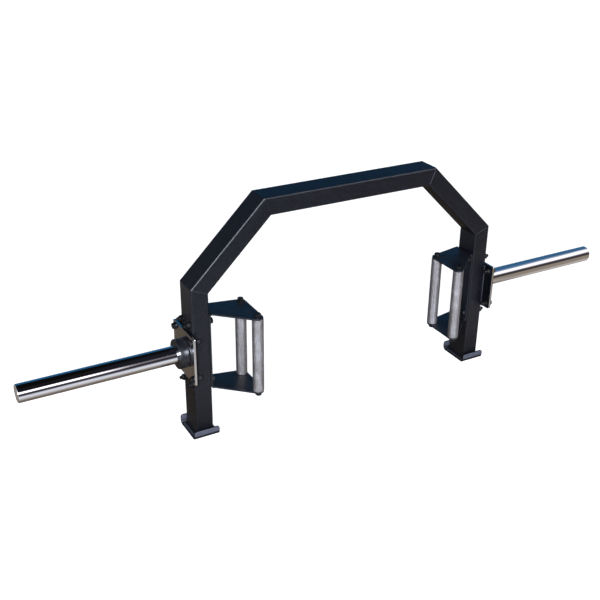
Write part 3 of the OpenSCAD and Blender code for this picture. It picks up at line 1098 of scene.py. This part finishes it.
def room_mirrored(tree, way):
    """What coats and chrome mirror of the room: its front with two windows, and its back."""
    x, y, z = way["X"], way["Y"], way["Z"]
    left = 0 - x
    front = tree.ramp(
        z, (0.0, (0.05, 0.04, 0.05)), (0.17, (0.07, 0.06, 0.08)), (0.26, (0.60, 0.57, 0.66)),
        (0.34, (3.0, 2.8, 2.9)), (0.50, (2.5, 2.4, 2.6)), (0.60, (0.28, 0.25, 0.30)),
        (0.66, (0.006, 0.005, 0.006)), (0.78, (0.004, 0.004, 0.005)),
        (0.88, (0.014, 0.013, 0.015)), (1.0, (0.004, 0.004, 0.004)))
    aside = tree.ramp(
        z, (0.0, (0.07, 0.06, 0.065)), (0.28, (0.04, 0.035, 0.04)), (0.39, (0.30, 0.27, 0.30)),
        (0.47, (1.3, 1.25, 1.3)), (0.71, (1.5, 1.45, 1.5)), (0.77, (0.30, 0.41, 0.59)),
        (0.84, (0.045, 0.15, 0.30)))
    back = tree.ramp(
        z, (0.0, (0.06, 0.07, 0.08)), (0.08, (0.015, 0.11, 0.24)), (0.60, (0.018, 0.13, 0.30)),
        (0.72, (0.005, 0.005, 0.006)), (1.0, (0.004, 0.004, 0.004)))
    gap = x.between(0.235, 0.035, 0.36, 0.03)
    middle = x.between(0.39, 0.02, 0.53, 0.03)
    return tree.layered(
        front,
        (gap * z.above(0.1, 0.1) * 0.93, (0.014, 0.015, 0.022)),
        (left.above(0.05, 0.10) * z.between(0.22, 0.06, 0.58, 0.06), (7.6, 8.6, 10.8)),
        (middle * z.between(0.22, 0.06, 0.84, 0.04), (11.0, 12.0, 14.5)),
        (x.above(0.55, 0.06), aside),
        (y.above(0.0, 0.25), tree.mix(x.above(0.59, 0.04), back, (0.042, 0.14, 0.29))),
        (left.above(0.22, 0.12) * y.above(0.3, 0.2), (0.105, 0.11, 0.13)),
        (left.above(0.75, 0.15) * 0.8, (0.10, 0.09, 0.085)))


# Each lamp's name, place, target, width, height, watts, and whether mirrors show it
LAMPS = (
    ("left_window", (-2.7, -4.3, 2.3), (-0.3, 0, 0.4), 2.4, 1.9, 540, True),
    ("right_window", (2.9, -4.0, 2.6), (0, 0, 0.4), 1.5, 1.5, 75, False),
    ("front_fill", (0.9, -3.4, 0.8), (0, 0, 0.2), 2.6, 1.0, 8, False),
    ("rear_fill", (0.4, 3.4, 0.8), (0, 0, 0.2), 3.0, 1.0, 14, False),
)
FLOOR_HALF = 60


class StageOperator(bpy.types.Operator):
    """Sets the pale floor, the soft lights, the surroundings and the camera"""

    bl_idname = "trap_bar.stage"
    bl_label = "Floor, lights and camera"

    def execute(self, context):
        self.floor()
        self.world(context.scene)
        for lamp in LAMPS:
            self.lamp(*lamp)
        self.camera(context.scene)
        context.scene.view_settings.view_transform = "Standard"
        return {"FINISHED"}

    def floor(self):
        """White to the camera, with the bar's shadow, and in mirrors a ground of its own: a
        glowing painted reflection.
        """
        shape = bmesh.new()
        bmesh.ops.create_grid(shape, x_segments=2, y_segments=2, size=FLOOR_HALF)
        mesh = bpy.data.meshes.new("pale_floor")
        shape.to_mesh(mesh)
        shape.free()
        thing = new_object("pale_floor", mesh)
        material, tree, place = shader("pale_floor")
        spot = tree.split(place)
        away_squared = spot["X"] * spot["X"] + spot["Y"] * spot["Y"]
        glow = tree.add("ShaderNodeEmission", None, {"Strength": 1.0, "Color": tree.mix(
            away_squared.above(6.0, 3.0), (0.90, 0.90, 0.90), (1, 1, 1))})
        shaded = tree.add("ShaderNodeBsdfDiffuse", None, {"Color": (0.45, 0.45, 0.45)})
        seen = tree.add("ShaderNodeAddShader", None, {0: glow["Emission"], 1: shaded["BSDF"]})
        plain = tree.add("ShaderNodeBsdfDiffuse", None, {"Color": (0.6, 0.6, 0.6)})
        # Painted reflection: the floor glows with a painted ground, seen only in mirrors
        gloss = tree.add("ShaderNodeEmission", None, {
            "Color": painted_floor_reflection(tree, place), "Strength": 1.0})
        tree.add("ShaderNodeOutputMaterial", None, {
            "Surface": tree.by_ray(plain["BSDF"], gloss["Emission"], seen["Shader"])})
        thing.data.materials.append(material)

    def world(self, scene):
        scene.world = bpy.data.worlds.new("soft_studio")
        scene.world.use_nodes = True
        tree = Tree(scene.world.node_tree)
        way = tree.split(tree.add("ShaderNodeTexCoord")["Generated"])
        soft, gloss, seen = [
            tree.add("ShaderNodeBackground", None, {
                "Color": tint, "Strength": strength})["Background"]
            for tint, strength in (((0.80, 0.88, 1.0), 0.09), (room_mirrored(tree, way), 1.0),
                                   ((1, 1, 1), 1.0))]
        tree.add("ShaderNodeOutputWorld", None, {"Surface": tree.by_ray(soft, gloss, seen)})

    def lamp(self, name, spot, target, wide, tall, power, mirrored):
        light = bpy.data.lights.new(name, "AREA")
        light.shape = "RECTANGLE"
        light.size = wide
        light.size_y = tall
        light.energy = power
        light.color = (0.84, 0.90, 1.0)
        thing = new_object(name, light)
        thing.location = spot
        thing.visible_glossy = mirrored
        way = Vector(target) - Vector(spot)
        thing.rotation_euler = way.to_track_quat("-Z", "Y").to_euler()

    def camera(self, scene):
        """The photograph's solved camera: place, direction, roll, lens and shift."""
        eye = (-1.30037, -2.04969, 1.50276)
        azimuth, fall, roll = radians(28.9174), radians(26.4112), radians(0.5182)
        forward = Vector((sin(azimuth) * cos(fall), cos(azimuth) * cos(fall), -sin(fall)))
        level = Vector((cos(azimuth), -sin(azimuth), 0))
        upright = level.cross(forward)
        right = level * cos(roll) + upright * sin(roll)
        up = upright * cos(roll) - level * sin(roll)
        data = bpy.data.cameras.new("photo_view")
        data.sensor_width = 36
        data.lens = 55.976
        data.shift_x = 0.00468
        data.shift_y = 0.00572
        data.clip_end = 200
        thing = new_object("photo_view", data)
        turn = Matrix((right, up, -forward)).transposed().to_4x4()
        thing.matrix_world = Matrix.Translation(eye) @ turn
        scene.camera = thing


OPERATORS = (TubesOperator, PlatesOperator, SleevesOperator, GripsOperator,
             FastenersOperator, WeldsOperator, StageOperator)


class TrapBarPanel(bpy.types.Panel):
    """Lists the trap bar's steps with their sizes and colours"""

    bl_idname = "TRAPBAR_PT_steps"
    bl_label = "Trap bar"
    bl_space_type = "VIEW_3D"
    bl_region_type = "UI"
    bl_category = "Trap bar"

    def draw(self, context):
        layout = self.layout
        for kind in OPERATORS:
            layout.operator(kind.bl_idname)
        for group in (context.scene.trap_bar_sizes, context.scene.trap_bar_colours):
            for name in group.__annotations__:
                layout.prop(group, name)


CLASSES = (TrapBarSizes, TrapBarColours, *OPERATORS, TrapBarPanel)


def register():
    for kind in CLASSES:
        bpy.utils.register_class(kind)
    bpy.types.Scene.trap_bar_sizes = bpy.props.PointerProperty(type=TrapBarSizes)
    bpy.types.Scene.trap_bar_colours = bpy.props.PointerProperty(type=TrapBarColours)


def unregister():
    del bpy.types.Scene.trap_bar_colours
    del bpy.types.Scene.trap_bar_sizes
    for kind in reversed(CLASSES):
        bpy.utils.unregister_class(kind)


def main():
    register()
    for kind in OPERATORS:
        group, step = kind.bl_idname.split(".")
        getattr(getattr(bpy.ops, group), step)()


if __name__ == "__main__":
    main()
